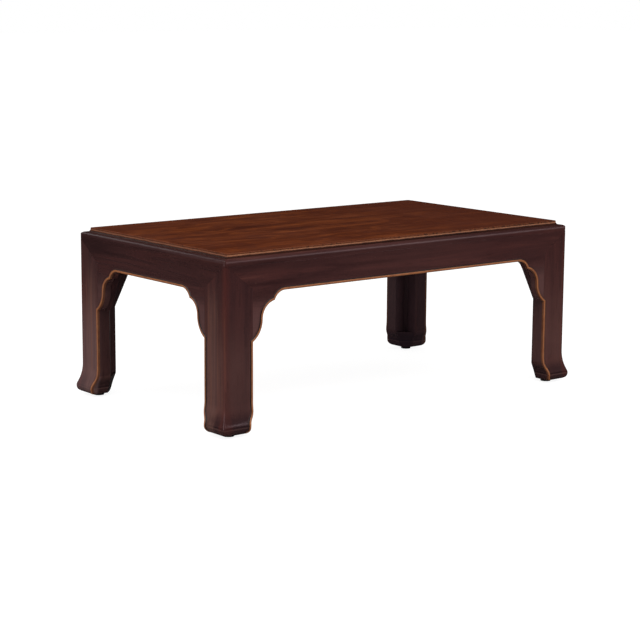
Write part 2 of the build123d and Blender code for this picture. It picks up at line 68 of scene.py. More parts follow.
# legs of two limbs, with a foot that curls outwards
LIMB_THICKNESS = 0.038
LEG_EASE = 0.0006
ARRIS_CHAMFER = 0.006
ARRIS_EASE = 0.0007
FOOT_TOP = 0.080
CURL_REACH = 0.0102
CURL_LOW = 0.030
TOE_TUCK = 0.001
SOLE_TOP = 0.007
HEEL_TOP = 0.062
HEEL_TUCK = 0.0133
HEEL_LOW = 0.020
HEEL_REACH = 0.024
HEEL_FROM = Vector((0.0755, 0.0378))
HEEL_TO = Vector((0.0352, 0.0767))
# knee blocks, from the brackets up to the cleats
CLEAT_LOW = 0.364
KNEE_CHAMFER = 0.001
KNEE_EASE = 0.0008
# beads let into aprons and legs, with a dark quirk beside them
BEAD_WIDTH = 0.0065
BEAD_PROUD = 0.0023
BEAD_LIP = 0.0002
BEAD_DEPTH = 0.0038
BEAD_END = 0.009
QUIRK_WIDTH = 0.0022
QUIRK_FROM = 0.0003
QUIRK_TO = 0.00008
# what a bead is drawn too long by, and loses again at its mitre
APRON_BEAD_SPARE = 0.006
LEG_BEAD_SPARE = 0.008


class Side:
    """Template of one side of the table: where its brackets swell and meet the legs."""

    def __init__(self, along, half, near, far, leg_width, cusp, swell, knee):
        self.along, self.half, self.near, self.far = along, half, near, far
        self.across = "Y" if along == "X" else "X"
        self.face = "face" if along == "X" else "end"
        self.leg_width, self.foot = leg_width, half - leg_width
        self.cusp = cusp
        self.swell_reach, self.swell_top = swell
        self.knee_low, self.knee_spread = knee
        run, rise = self.swell_reach - leg_width, self.swell_top - cusp
        radius = (run ** 2 + rise ** 2) / (2 * run)
        self.mitre_slope = (rise / radius) / (2 - run / radius)


LONG_SIDE = Side(
    "X", HALF_LENGTH, "front", "back", leg_width=0.076, cusp=0.215,
    swell=(0.1032, 0.265), knee=(0.216, 0.076),
)
END_SIDE = Side(
    "Y", HALF_DEPTH, "left", "right", leg_width=0.0795, cusp=0.221,
    swell=(0.107, 0.2695), knee=(0.217, 0.075),
)


# ---------------------------------------------------------------- hand tools
def pick(piece):
    """Select this piece and nothing else, and make it the active one."""
    if bpy.context.object and bpy.context.object.mode != "OBJECT":
        bpy.ops.object.mode_set(mode="OBJECT")
    bpy.ops.object.select_all(action="DESELECT")
    piece.hide_set(False)
    piece.select_set(True)
    bpy.context.view_layer.objects.active = piece


def settle(piece):
    """Put the piece's place into its mesh and leave its object at the origin."""
    pick(piece)
    bpy.ops.object.transform_apply(location=True, rotation=True, scale=True)
    return piece


def apply_modifier(piece, kind, **settings):
    """Add a modifier with these settings and apply it at once."""
    pick(piece)
    modifier = piece.modifiers.new(kind.title(), kind)
    for name, value in settings.items():
        setattr(modifier, name, value)
    bpy.ops.object.modifier_apply(modifier=modifier.name)
    return piece


def ease(piece, width, angle, **settings):
    """Take off the arrises that turn by more than an angle in degrees."""
    return apply_modifier(
        piece, "BEVEL", width=width, segments=2, limit_method="ANGLE",
        angle_limit=math.radians(angle), **settings,
    )


def tidy(piece, dissolve=False):
    """Merge doubles, join flat facets and point the faces outwards."""
    pick(piece)
    bpy.ops.object.mode_set(mode="EDIT")
    bpy.ops.mesh.select_all(action="SELECT")
    bpy.ops.mesh.remove_doubles(threshold=0.00001)
    if dissolve:
        bpy.ops.mesh.dissolve_limited(angle_limit=math.radians(0.4))
    bpy.ops.mesh.normals_make_consistent(inside=False)
    bpy.ops.object.mode_set(mode="OBJECT")
    return piece


def smooth(piece, angle=32):
    """Smooth shading that keeps flat faces flat."""
    pick(piece)
    bpy.ops.object.shade_smooth_by_angle(angle=math.radians(angle))
    apply_modifier(piece, "WEIGHTED_NORMAL", keep_sharp=True, weight=80)
    return piece


def saw(piece, point, normal):
    """Saw through the piece on a plane and keep the side that the normal points away from."""
    pick(piece)
    bpy.ops.object.mode_set(mode="EDIT")
    bpy.ops.mesh.select_all(action="SELECT")
    bpy.ops.mesh.bisect(
        plane_co=point, plane_no=normal, use_fill=True, clear_outer=True, threshold=0.000001
    )
    bpy.ops.object.mode_set(mode="OBJECT")
    return piece


def twin(piece, name, across):
    """A mirrored copy on the other side of the table, with its own mesh."""
    copy = piece.copy()
    copy.data = piece.data.copy()
    copy.name = name
    bpy.context.scene.collection.objects.link(copy)
    copy.data.transform(Matrix.Diagonal((-1, 1, 1, 1) if across == "X" else (1, -1, 1, 1)))
    copy.data.flip_normals()
    return copy


def four_corners(piece):
    """The piece of the front left corner and its mirrored copies, each with its corner's name."""
    right = twin(piece, "right", "X")
    back = twin(piece, "back", "Y")
    return (
        (piece, "front_left"), (right, "front_right"),
        (back, "back_left"), (twin(right, "back_right", "Y"), "back_right"),
    )


def place(piece, node, material):
    """Let the piece stand for a node of the frame, in that node's finish."""
    piece.name = "dressed_" + node
    piece.data.materials.clear()
    piece.data.materials.append(material)
    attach(piece, "root")
    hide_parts(node)
    return piece


def place_pair(piece, side, part, material):
    """Let the piece and its mirrored copy stand for a part of two opposite sides."""
    other = twin(piece, side.far, side.across)
    place(piece, f"{side.near}_{part}", material)
    place(other, f"{side.far}_{part}", material)


# ---------------------------------------------------------------- drawing the profiles
def arc(start, end, leaving, steps):
    """Points of the arc that leaves start in a given direction and runs to end."""
    start, end = Vector(start), Vector(end)
    leaving = Vector(leaving).normalized()
    chord = end - start
    bend = leaving.angle_signed(chord)
    turned = Vector((leaving.y, -leaving.x))
    radius = chord.length / (2 * math.sin(bend))
    points = []
    for step in range(1, steps + 1):
        angle = 2 * bend * step / steps
        points.append(
            start + leaving * radius * math.sin(angle) + turned * radius * (1 - math.cos(angle))
        )
    heading = leaving * math.cos(2 * bend) + turned * math.sin(2 * bend)
    return points, heading


def bracket(side):
    """Cusped bracket, from the middle of the apron out to the cusp on the leg."""
    run_out = Vector((side.half - BRACKET_REACH, APRON_LOW))
    hollow_end = Vector((side.half - HOLLOW_REACH, HOLLOW_LOW))
    swell_top = Vector((side.half - side.swell_reach, side.swell_top))
    cusp = Vector((side.foot, side.cusp))
    quarter, _ = arc(run_out, hollow_end, (1, 0), 10)
    hollow, _ = arc(swell_top, hollow_end, (0, 1), 10)
    swelling, _ = arc(swell_top, cusp, (0, -1), 12)
    return [run_out] + quarter + hollow[-2::-1] + [swell_top] + swelling


def toe():
    """Outer edge of a leg below the shaft: (distance outwards, height) down to the sole."""
    start, bulge = (0, FOOT_TOP), (CURL_REACH, CURL_LOW)
    curl, heading = arc(start, bulge, (0, -1), 10)
    roll, _ = arc(bulge, (-TOE_TUCK, SOLE_TOP), heading, 12)
    return [Vector(start)] + curl + roll


TOE = toe()


def curl_at(height):
    """How far out the foot has curled at a height."""
    for upper, lower in zip(TOE, TOE[1:]):
        if lower.y <= height <= upper.y:
            share = (upper.y - height) / (upper.y - lower.y)
            return upper.x + (lower.x - upper.x) * share
    return 0.0 if height > FOOT_TOP else TOE[-1].x


def bead_profile():
    """Section of a bead: a low round between its reveal edge and a dark quirk."""
    section = [(-BEAD_LIP, -BEAD_DEPTH), (-BEAD_LIP, BEAD_LIP)]
    for step in range(1, 12):
        angle = math.pi * step / 12
        section.append(
            (
                BEAD_WIDTH / 2 * (1 - math.cos(angle)),
                BEAD_LIP + (BEAD_PROUD - BEAD_LIP) * math.sin(angle) ** 0.75,
            )
        )
    quirk_end = BEAD_WIDTH + QUIRK_WIDTH
    quirk = [(BEAD_WIDTH, QUIRK_FROM), (quirk_end, QUIRK_TO), (quirk_end, -BEAD_DEPTH)]
    return section + quirk


def drawn(name, points, closed=False):
    """A flat drawn line."""
    data = bpy.data.curves.new(name, "CURVE")
    data.dimensions = "2D"
    line = data.splines.new("POLY")
    line.points.add(len(points) - 1)
    for spot, point in zip(line.points, points):
        spot.co = (point[0], point[1], 0, 1)
    line.use_cyclic_u = closed
    drawing = bpy.data.objects.new(name, data)
    bpy.context.scene.collection.objects.link(drawing)
    return drawing


def run_bead(name, path):
    """Run the bead's section along a path, with the distances along and across it as UV."""
    section = bead_profile()
    profile = drawn("bead_section", [(-x, y) for x, y in section], closed=True)
    bead = drawn(name, path)
    bead.data.bevel_mode = "OBJECT"
    bead.data.bevel_object = profile
    bead.data.use_fill_caps = True
    pick(bead)
    bpy.ops.object.convert(target="MESH")
    bead = bpy.context.object
    bpy.data.objects.remove(profile)
    lay_out_bead(bead, path)
    return bead


def lay_out_bead(bead, path):
    """UV of a bead: metres along the path, and metres across from the reveal edge."""
    mesh = bead.data
    while mesh.uv_layers:
        mesh.uv_layers.remove(mesh.uv_layers[0])
    travelled = [0.0]
    for here, there in zip(path, path[1:]):
        travelled.append(travelled[-1] + (Vector(there) - Vector(here)).length)
    layout = mesh.uv_layers.new(name="run")
    for loop in mesh.loops:
        spot = mesh.vertices[loop.vertex_index].co.to_2d()
        best = None
        for index, (here, there) in enumerate(zip(path, path[1:])):
            here, there = Vector(here), Vector(there)
            run = there - here
            share = max(0.0, min(1.0, (spot - here).dot(run) / run.length_squared))
            away = (spot - here - run * share).length
            if best is None or away < best[1] - 1e-7:
                best = (travelled[index] + run.length * share, away)
        layout.data[loop.index].uv = best


# ---------------------------------------------------------------- colour and grain
def tint(red, green, blue):
    """A colour written 0 to 255, as the shaders want it."""
    def linear(value):
        value /= 255
        return value / 12.92 if value <= 0.04045 else ((value + 0.055) / 1.055) ** 2.4
    return (linear(red), linear(green), linear(blue), 1.0)


def feed(tree, socket, value):
    """Join a socket to another, or set it."""
    if isinstance(value, bpy.types.NodeSocket):
        tree.links.new(value, socket)
    elif value is not None:
        socket.default_value = value


def noise(tree, vector, scale, detail, rough=0.55, warp=0.0):
    """Fractal noise, 0 to 1."""
    node = tree.nodes.new("ShaderNodeTexNoise")
    feed(tree, node.inputs["Vector"], vector)
    feed(tree, node.inputs["Scale"], scale)
    feed(tree, node.inputs["Detail"], detail)
    feed(tree, node.inputs["Roughness"], rough)
    feed(tree, node.inputs["Distortion"], warp)
    return node.outputs["Fac"]


def stretched(tree, vector, scale, shift=None):
    """Coordinates scaled axis by axis, then shifted."""
    node = tree.nodes.new("ShaderNodeVectorMath")
    node.operation = "MULTIPLY_ADD"
    feed(tree, node.inputs[0], vector)
    feed(tree, node.inputs[1], scale)
    feed(tree, node.inputs[2], shift)
    return node.outputs["Vector"]


def streaky(tree, vector, scale, detail, rough, warp=0.0):
    """Noise drawn out along the axes with a low scale."""
    return noise(tree, stretched(tree, vector, scale), 1.0, detail, rough, warp)


def ramp(tree, value, stops):
    """Colours that follow a value, as (position, colour) in rising order."""
    node = tree.nodes.new("ShaderNodeValToRGB")
    feed(tree, node.inputs["Fac"], value)
    bar = node.color_ramp
    while len(bar.elements) > 1:
        bar.elements.remove(bar.elements[-1])
    bar.elements[0].position, bar.elements[0].color = stops[0]
    for position, colour in stops[1:]:
        bar.elements.new(position).color = colour
    return node.outputs["Color"]


def calc(tree, operation, first, second=None, third=None):
    """One step of arithmetic on sockets or numbers."""
    node = tree.nodes.new("ShaderNodeMath")
    node.operation = operation
    feed(tree, node.inputs[0], first)
    feed(tree, node.inputs[1], second)
    feed(tree, node.inputs[2], third)
    return node.outputs["Value"]


def times(tree, product, *factors):
    """Masks and amounts multiplied together."""
    for factor in factors:
        product = calc(tree, "MULTIPLY", product, factor)
    return product


def between(tree, value, low, high, start=0.0, end=1.0):
    """Smooth step of a value from low to high."""
    node = tree.nodes.new("ShaderNodeMapRange")
    node.interpolation_type = "SMOOTHSTEP"
    feed(tree, node.inputs["Value"], value)
    feed(tree, node.inputs["From Min"], low)
    feed(tree, node.inputs["From Max"], high)
    feed(tree, node.inputs["To Min"], start)
    feed(tree, node.inputs["To Max"], end)
    return node.outputs["Result"]


def over(tree, amount, under, upper):
    """Lay one colour over another by an amount."""
    node = tree.nodes.new("ShaderNodeMix")
    node.data_type = "RGBA"
    feed(tree, node.inputs[0], amount)
    feed(tree, node.inputs[6], under)
    feed(tree, node.inputs[7], upper)
    return node.outputs[2]


def layered(tree, colour, *coats):
    """Lay coats, as (amount, colour), over a colour one after the other."""
    for amount, coat in coats:
        colour = over(tree, amount, colour, coat)
    return colour


def split(tree, vector):
    """The three parts of a vector."""
    node = tree.nodes.new("ShaderNodeSeparateXYZ")
    feed(tree, node.inputs[0], vector)
    return node.outputs["X"], node.outputs["Y"], node.outputs["Z"]


def inwards(tree, coords, rim=0.0):
    """Distances inwards from a rim: from its nearer end and from its nearer long side."""
    x, y, _ = split(tree, coords)
    return (
        calc(tree, "SUBTRACT", HALF_LENGTH - rim, calc(tree, "ABSOLUTE", x)),
        calc(tree, "SUBTRACT", HALF_DEPTH - rim, calc(tree, "ABSOLUTE", y)),
    )


def new_group(name, inputs, outputs):
    """A shared effect with named sockets."""
    group = bpy.data.node_groups.new(name, "ShaderNodeTree")
    for label, kind, value in inputs:
        socket = group.interface.new_socket(
            label, in_out="INPUT", socket_type="NodeSocket" + kind
        )
        socket.default_value = value
    for label, kind in outputs:
        group.interface.new_socket(label, in_out="OUTPUT", socket_type="NodeSocket" + kind)
    entry = group.nodes.new("NodeGroupInput").outputs
    leave = group.nodes.new("NodeGroupOutput").inputs
    return group, entry, leave


def timber_grain():
    """Long streaks, fine open pores and soft clouds of one board."""
    group, entry, leave = new_group(
        "timber_grain",
        [
            ("Place", "Vector", (0, 0, 0)),
            ("Grain", "Vector", (2.0, 30.0, 30.0)),
            ("Board", "Float", 0.0),
        ],
        [("Streaks", "Float"), ("Pores", "Float"), ("Clouds", "Float")],
    )
    shift = group.nodes.new("ShaderNodeCombineXYZ")
    for axis in range(3):
        feed(group, shift.inputs[axis], entry["Board"])
    along = stretched(group, entry["Place"], entry["Grain"], shift.outputs[0])
    streaks = noise(group, along, 1.0, 6.0, 0.62, 0.7)
    fine = noise(group, along, 6.5, 3.0, 0.6, 0.2)
    feed(group, leave["Streaks"], streaks)
    feed(group, leave["Pores"], between(group, fine, 0.56, 0.72))
    clouds = noise(group, stretched(group, entry["Place"], (1, 1, 1), shift.outputs[0]), 7.0, 3.0)
    feed(group, leave["Clouds"], clouds)
    return group


def corner_rub():
    """Mask of the upright corners, where the polish wears."""
    group, entry, leave = new_group(
        "corner_rub",
        [("Place", "Vector", (0, 0, 0)), ("Reach", "Float", 0.010), ("Ragged", "Float", 0.5)],
        [("Corner", "Float")],
    )
    farther = calc(group, "MAXIMUM", *inwards(group, entry["Place"]))
    ragged = streaky(group, entry["Place"], (60, 60, 14), 5.0, 0.7)
    ragged = calc(group, "MULTIPLY_ADD", ragged, entry["Ragged"], 0.5)
    near = calc(group, "DIVIDE", farther, times(group, entry["Reach"], ragged))
    feed(group, leave["Corner"], between(group, near, 0.35, 1.15, 1.0, 0.0))
    return group


def handling_marks():
    """Fine specks, rubbed patches and small dents of an old polish."""
    group, entry, leave = new_group(
        "handling_marks",
        [("Place", "Vector", (0, 0, 0)), ("Size", "Float", 1.0)],
        [("Rubbed", "Float"), ("Specks", "Float"), ("Height", "Float")],
    )
    rubbed, specks, waves = (
        noise(group, entry["Place"], times(group, entry["Size"], scale), detail, rough)
        for scale, detail, rough in ((9.0, 5.0, 0.65), (240.0, 2.0, 0.5), (28.0, 2.0, 0.5))
    )
    feed(group, leave["Rubbed"], rubbed)
    feed(group, leave["Specks"], between(group, specks, 0.68, 0.76))
    feed(group, leave["Height"], calc(group, "MULTIPLY_ADD", specks, -0.15, waves))
    return group


GRAIN = timber_grain()
RUB = corner_rub()
MARKS = handling_marks()


def use(tree, group, **values):
    """Put a shared effect into a material with its own values."""
    node = tree.nodes.new("ShaderNodeGroup")
    node.node_tree = group
    for name, value in values.items():
        feed(tree, node.inputs[name], value)
    return node.outputs


def finish_of(name):
    """An empty material, its shader and the coordinates of the table."""
    material = bpy.data.materials.new(name)
    material.use_nodes = True
    tree = material.node_tree
    shader = tree.nodes["Principled BSDF"]
    coords = tree.nodes.new("ShaderNodeTexCoord").outputs["Object"]
    return material, tree, shader, coords


def relief(tree, shader, height, strength, distance):
    """Small unevenness of the surface."""
    node = tree.nodes.new("ShaderNodeBump")
    node.inputs["Strength"].default_value = strength
    node.inputs["Distance"].default_value = distance
    feed(tree, node.inputs["Height"], height)
    feed(tree, shader.inputs["Normal"], node.outputs["Normal"])


def coat(tree, shader, colour, roughness, specular=None):
    """Feed the shader its colour, roughness and strength of reflection."""
    feed(tree, shader.inputs["Base Color"], colour)
    feed(tree, shader.inputs["Roughness"], roughness)
    feed(tree, shader.inputs["Specular IOR Level"], specular)


# how the grain is drawn out: along the table, across it and up it
LONG = (2.2, 34.0, 34.0)
CROSS = (34.0, 2.2, 34.0)
UPRIGHT = (30.0, 30.0, 2.4)
# distances from the end over which wear of a leg's end face fades out
END_FACE = (0.0015, 0.006)


def band(tree, height, low, high, amount):
    """Mask of a level band that fades in and out."""
    soft = (high - low) * 0.4
    return times(
        tree,
        between(tree, height, low, low + soft, 0.0, amount),
        between(tree, height, high - soft, high, 1.0, 0.0),
    )


def lacquer_colour(tree, coords, grain, board):
    """Dark brown-purple lacquer: streaks, warmer low down, painted shade and light, rubbed
    corners.
    """
    wood = use(tree, GRAIN, Place=coords, Grain=grain, Board=board)
    rub = use(tree, RUB, Place=coords, Reach=0.016, Ragged=0.9)
    _, _, up = split(tree, coords)
    streaks = ramp(
        tree,
        wood["Streaks"],
        [
            (0.30, tint(45, 24, 24)),
            (0.46, tint(57, 32, 31)),
            (0.60, tint(67, 37, 35)),
            (0.74, tint(86, 50, 44)),
        ],
    )
    warmer = times(
        tree,
        between(tree, up, 0.36, 0.10, 0.0, 0.62),
        between(tree, wood["Clouds"], 0.3, 0.7, 0.6, 1.0),
    )
    # painted shade under the nose of the top, deeper on the ends
    shade_under_nose = between(tree, up, 0.34, 0.397, 0.0, 0.38 if grain == CROSS else 0.18)
    colour = layered(
        tree, streaks,
        (warmer, tint(94, 64, 59)),
        (shade_under_nose, tint(30, 14, 14)),
        # painted shade on the crest of the nose, then on the foot and in its crease, and a
        # painted highlight on the ridge below that
        (between(tree, up, 0.399, 0.403, 0.0, 0.30), tint(36, 18, 17)),
        (band(tree, up, -0.010, 0.066, 0.70), tint(34, 22, 25)),
        (band(tree, up, 0.0250, 0.0292, 0.60), tint(24, 14, 16)),
        (band(tree, up, 0.0212, 0.0248, 0.22), tint(124, 92, 84)),
        (times(tree, rub["Corner"], 0.28 if grain == UPRIGHT else 0.08), tint(88, 38, 30)),
        (times(tree, wood["Pores"], 0.30), tint(26, 13, 13)),
    )
    return colour, wood


def inner_face_shade(tree, coords):
    """Mask of painted shade on the inner faces of a leg, which are painted darker and cooler."""
    depth = calc(tree, "MINIMUM", *inwards(tree, coords))
    return between(tree, depth, LIMB_THICKNESS - 0.002, LIMB_THICKNESS - 0.0005, 0.0, 0.4)


def worn_end_face(tree, coords):
    """Mask of the faded strip down a leg's end face, clear of its darker outer corner."""
    _, _, up = split(tree, coords)
    from_end, from_side = inwards(tree, coords)
    wander = streaky(tree, coords, (40, 40, 9), 4.0, 0.6)
    edge = calc(tree, "MULTIPLY_ADD", wander, 0.016, from_side)
    inner = between(tree, up, 0.25, 0.12, 0.066, 0.100)
    return times(
        tree,
        between(tree, edge, 0.030, 0.048),
        between(tree, edge, inner, calc(tree, "ADD", inner, 0.014), 1.0, 0.0),
        between(tree, streaky(tree, coords, (150, 150, 3), 3.0, 0.6), 0.3, 0.6, 0.5, 1.0),
        between(tree, from_end, *END_FACE, 1.0, 0.0),
        between(tree, up, 0.36, 0.28),
        between(tree, up, 0.34, 0.10, 0.30, 0.45),
    )


def leg_places(tree, coords, colour):
    """What a place on the legs adds to the lacquer: wear, painted light and painted shade.

    Four of the coats belong to one leg alone. They stay there whatever the light is.
    """
    x, y, up = split(tree, coords)
    from_end, from_side = inwards(tree, coords)
    towards_back = between(tree, y, 0.10, 0.20)
    on_end = times(
        tree,
        between(tree, from_end, *END_FACE, 1.0, 0.0),
        between(tree, up, 0.36, 0.27),
        between(tree, up, 0.05, 0.085),
    )
    streaks = streaky(tree, coords, (170, 170, 2.5), 3.0, 0.6)
    pale_streaks = times(tree, on_end, between(tree, streaks, 0.50, 0.66, 0.0, 0.26))
    deep_streaks = times(tree, on_end, between(tree, streaks, 0.48, 0.34, 0.0, 0.28))
    # painted cool shade on the back right leg
    back_right = times(tree, between(tree, x, 0.30, 0.40, 0.0, 0.35), towards_back)
    # painted light: the back left leg's end face is painted paler, most of all low down
    painted_light_back_left = times(
        tree,
        between(tree, x, -0.525, -0.534, 0.0, 0.32),
        towards_back,
        between(tree, up, 0.27, 0.12, 0.15, 1.0),
    )
    # painted shade on the upper part of the back left leg
    upper_back_left_shade = times(
        tree,
        between(tree, up, 0.22, 0.33, 0.0, 0.22),
        between(tree, x, -0.40, -0.50),
        towards_back,
    )
    # painted shade on the front face of the front left leg
    front_left_face_shade = times(
        tree, between(tree, y, -0.3030, -0.3040, 0.0, 0.26), between(tree, x, -0.40, -0.45)
    )
    return layered(
        tree, colour,
        (worn_end_face(tree, coords), tint(108, 77, 69)),
        (inner_face_shade(tree, coords), tint(40, 30, 35)),
        (back_right, tint(50, 42, 52)),
        (painted_light_back_left, tint(116, 92, 92)),
        # painted shade on the narrow faces that look into the openings of the ends, then a cooler
        # painted shade on those of the long sides
        (between(tree, from_side, 0.0787, 0.0793, 0.0, 0.45), tint(32, 20, 24)),
        (between(tree, from_end, 0.0752, 0.0758, 0.0, 0.35), tint(66, 52, 54)),
        (pale_streaks, tint(116, 70, 48)),
        (deep_streaks, tint(38, 26, 31)),
        (front_left_face_shade, tint(34, 22, 26)),
        (upper_back_left_shade, tint(30, 15, 17)),
    )


def apron_places(tree, coords, colour, grain):
    """What a place on the aprons adds: paler brackets, and a shade painted on the ends.

    That shade deepens towards the back, and stays there whatever the light is.
    """
    x, y, up = split(tree, coords)
    coats = [
        (between(tree, calc(tree, "ABSOLUTE", x), 0.30, 0.08, 0.0, 0.12), tint(92, 58, 54)),
        (between(tree, up, 0.325, 0.27, 0.0, 0.40), tint(98, 70, 68)),
    ]
    if grain == CROSS:
        coats.append((between(tree, y, 0.02, 0.28, 0.0, 0.35), tint(30, 15, 17)))
    return layered(tree, colour, *coats)


def lacquer(name, grain, board):
    """Lacquered wood of the frame, the aprons and the legs."""
    material, tree, shader, coords = finish_of(name)
    colour, wood = lacquer_colour(tree, coords, grain, board)
    if grain == UPRIGHT:
        colour = leg_places(tree, coords, colour)
    else:
        colour = apron_places(tree, coords, colour, grain)
    marks = use(tree, MARKS, Place=coords)
    colour = over(tree, times(tree, marks["Specks"], 0.25), colour, tint(110, 78, 66))
    _, _, up = split(tree, coords)
    gloss = between(tree, marks["Rubbed"], 0.3, 0.7, 0.13, 0.24)
    rubbed_nose = between(tree, up, 0.3955, 0.3975, 0.0, 0.34)
    coat(tree, shader, colour, calc(tree, "MAXIMUM", gloss, rubbed_nose), 0.35)
    shader.inputs["Specular Tint"].default_value = (1.0, 0.74, 0.80, 1.0)
    height = calc(tree, "MULTIPLY_ADD", wood["Pores"], -0.35, marks["Height"])
    relief(tree, shader, height, 0.12, 0.002)
    return material


def figured_top():
    """Polished reddish-brown veneer: cloudy honey figure, long dark streaks, cross ripple."""
    material, tree, shader, coords = finish_of("figured_top")
    wood = use(tree, GRAIN, Place=coords, Grain=(3.2, 24.0, 24.0), Board=3.0)
    fine = use(tree, GRAIN, Place=coords, Grain=(5.0, 95.0, 95.0), Board=7.0)
    x, _, _ = split(tree, coords)
    streaks = ramp(
        tree,
        wood["Streaks"],
        [
            (0.28, tint(56, 21, 10)),
            (0.42, tint(75, 32, 14)),
            (0.55, tint(89, 40, 16)),
            (0.72, tint(113, 57, 23)),
        ],
    )
    figure = streaky(tree, coords, (6.5, 14.0, 1.0), 4.0, 0.6, 1.4)
    honey = streaky(tree, coords, (10.0, 26.0, 1.0), 5.0, 0.65, 0.9)
    ripple = streaky(tree, coords, (46.0, 7.0, 1.0), 3.0, 0.5, 0.6)
    redder = between(tree, x, 0.02, 0.30)
    _, from_side = inwards(tree, coords, PANEL_INSET)
    colour = layered(
        tree, streaks,
        (between(tree, figure, 0.48, 0.64, 0.0, 0.50), tint(66, 28, 17)),
        (between(tree, honey, 0.50, 0.66, 0.0, 0.45), tint(118, 58, 22)),
        (times(tree, redder, 0.60), tint(82, 37, 22)),
        (times(tree, between(tree, ripple, 0.45, 0.7), redder, 0.25), tint(58, 24, 17)),
        (times(tree, fine["Pores"], 0.35), tint(48, 21, 14)),
        (between(tree, from_side, 0.0, 0.03, 0.15, 0.0), tint(96, 54, 30)),
    )
    marks = use(tree, MARKS, Place=coords, Size=0.8)
    coat(tree, shader, colour, between(tree, marks["Rubbed"], 0.3, 0.7, 0.30, 0.42), 0.30)
    height = calc(tree, "MULTIPLY_ADD", fine["Pores"], -0.3, marks["Height"])
    relief(tree, shader, height, 0.08, 0.002)
    return material


def lipping_finish(name, grain, board):
    """Dark cove below a worn tan arris with chips in it."""
    material, tree, shader, coords = finish_of(name)
    wood = use(tree, GRAIN, Place=coords, Grain=grain, Board=board)
    x, _, up = split(tree, coords)
    worn = streaky(tree, coords, (50, 50, 160), 5.0, 0.7)
    # heights, made ragged by wear: brown from 0.411, a tan line from 0.413 and redder above it
    ragged = calc(tree, "MULTIPLY_ADD", worn, 0.004, up)
    line = times(
        tree,
        between(tree, ragged, 0.4128, 0.4138),
        between(tree, ragged, 0.4146, 0.4156, 1.0, 0.0),
    )
    top = times(
        tree,
        between(tree, up, 0.4166, 0.4169),
        between(
            tree, calc(tree, "MINIMUM", *inwards(tree, coords, PANEL_INSET)), 0.0012, 0.0024
        ),
    )
    chips = streaky(tree, coords, (120, 120, 60), 4.0, 0.6)
    chips = calc(tree, "ADD", chips, between(tree, x, -0.10, 0.12, 0.0, 0.08))
    chipped = times(
        tree, between(tree, chips, 0.57, 0.62), between(tree, up, 0.411, 0.414)
    )
    cove = ramp(tree, wood["Streaks"], [(0.3, tint(30, 13, 9)), (0.7, tint(48, 23, 15))])
    colour = layered(
        tree, cove,
        (between(tree, ragged, 0.4114, 0.4130), tint(104, 60, 40)),
        (between(tree, ragged, 0.4146, 0.4156), tint(92, 48, 29)),
        # the tan line is painted darker on the ends than on the long sides, as painted shade
        (line, tint(140, 95, 68) if grain == LONG else tint(116, 77, 59)),
        (top, tint(84, 42, 26)),
        (times(tree, chipped, 0.65), tint(42, 21, 14)),
        (times(tree, wood["Pores"], 0.3), tint(28, 14, 10)),
    )
    coat(tree, shader, colour, between(tree, worn, 0.3, 0.7, 0.30, 0.45), 0.10)
    relief(tree, shader, calc(tree, "MULTIPLY_ADD", chipped, -1.0, worn), 0.25, 0.0012)
    return material


def bead_finish(name, grain):
    """Worn tan bead with a dark quirk that fades into the lacquer beside it."""
    material, tree, shader, coords = finish_of(name)
    ground, _ = lacquer_colour(tree, coords, grain, 0.0)
    layout = tree.nodes.new("ShaderNodeUVMap")
    layout.uv_map = "run"
    along, across, _ = split(tree, layout.outputs["UV"])
    on_bead = tree.nodes.new("ShaderNodeCombineXYZ")
    feed(tree, on_bead.inputs[0], along)
    feed(tree, on_bead.inputs[1], across)
    fibres = streaky(tree, on_bead.outputs[0], (45, 900, 1), 5.0, 0.65, 0.4)
    patches = streaky(tree, on_bead.outputs[0], (30, 60, 1), 4.0, 0.6)
    tan = ramp(
        tree,
        fibres,
        [
            (0.30, tint(112, 60, 34)),
            (0.48, tint(142, 85, 49)),
            (0.64, tint(160, 102, 60)),
            (0.80, tint(178, 124, 80)),
        ],
    )
    tan = layered(
        tree, tan,
        (between(tree, patches, 0.52, 0.70, 0.0, 0.5), tint(96, 52, 34)),
        (between(tree, across, 0.0, BEAD_WIDTH * 0.22, 0.75, 0.0), tint(70, 36, 24)),
    )
    quirk = between(tree, across, BEAD_WIDTH * 0.70, BEAD_WIDTH * 0.94)
    fading = between(tree, across, BEAD_WIDTH, BEAD_WIDTH + QUIRK_WIDTH * 0.7)
    colour = over(tree, quirk, tan, over(tree, fading, tint(34, 18, 17), ground))
    coat(tree, shader, colour, between(tree, patches, 0.3, 0.7, 0.36, 0.55), 0.35)
    relief(tree, shader, fibres, 0.15, 0.0008)
    return material


def plain_wood(name, grain, light, dark):
    """Unfinished wood of the parts inside."""
    material, tree, shader, coords = finish_of(name)
    wood = use(tree, GRAIN, Place=coords, Grain=grain, Board=11.0)
    colour = ramp(tree, wood["Streaks"], [(0.3, dark), (0.7, light)])
    colour = over(tree, times(tree, wood["Pores"], 0.4), colour, dark)
    marks = use(tree, MARKS, Place=coords)
    coat(tree, shader, colour, between(tree, marks["Rubbed"], 0.3, 0.7, 0.62, 0.8))
    height = calc(tree, "MULTIPLY_ADD", wood["Streaks"], 1.0, marks["Height"])
    relief(tree, shader, height, 0.3, 0.001)
    return material


def glide_finish():
    """Dark matt plastic, scuffed underneath."""
    material, tree, shader, coords = finish_of("glide_plastic")
    marks = use(tree, MARKS, Place=coords, Size=3.0)
    _, _, up = split(tree, coords)
    colour = ramp(tree, marks["Rubbed"], [(0.3, tint(24, 20, 19)), (0.7, tint(40, 35, 33))])
    scuffed = between(tree, up, 0.0025, 0.0, 0.0, 0.7)
    colour = over(tree, scuffed, colour, tint(78, 72, 68))
    coat(tree, shader, colour, between(tree, marks["Rubbed"], 0.3, 0.7, 0.55, 0.75))
    relief(tree, shader, marks["Height"], 0.3, 0.0008)
    return material


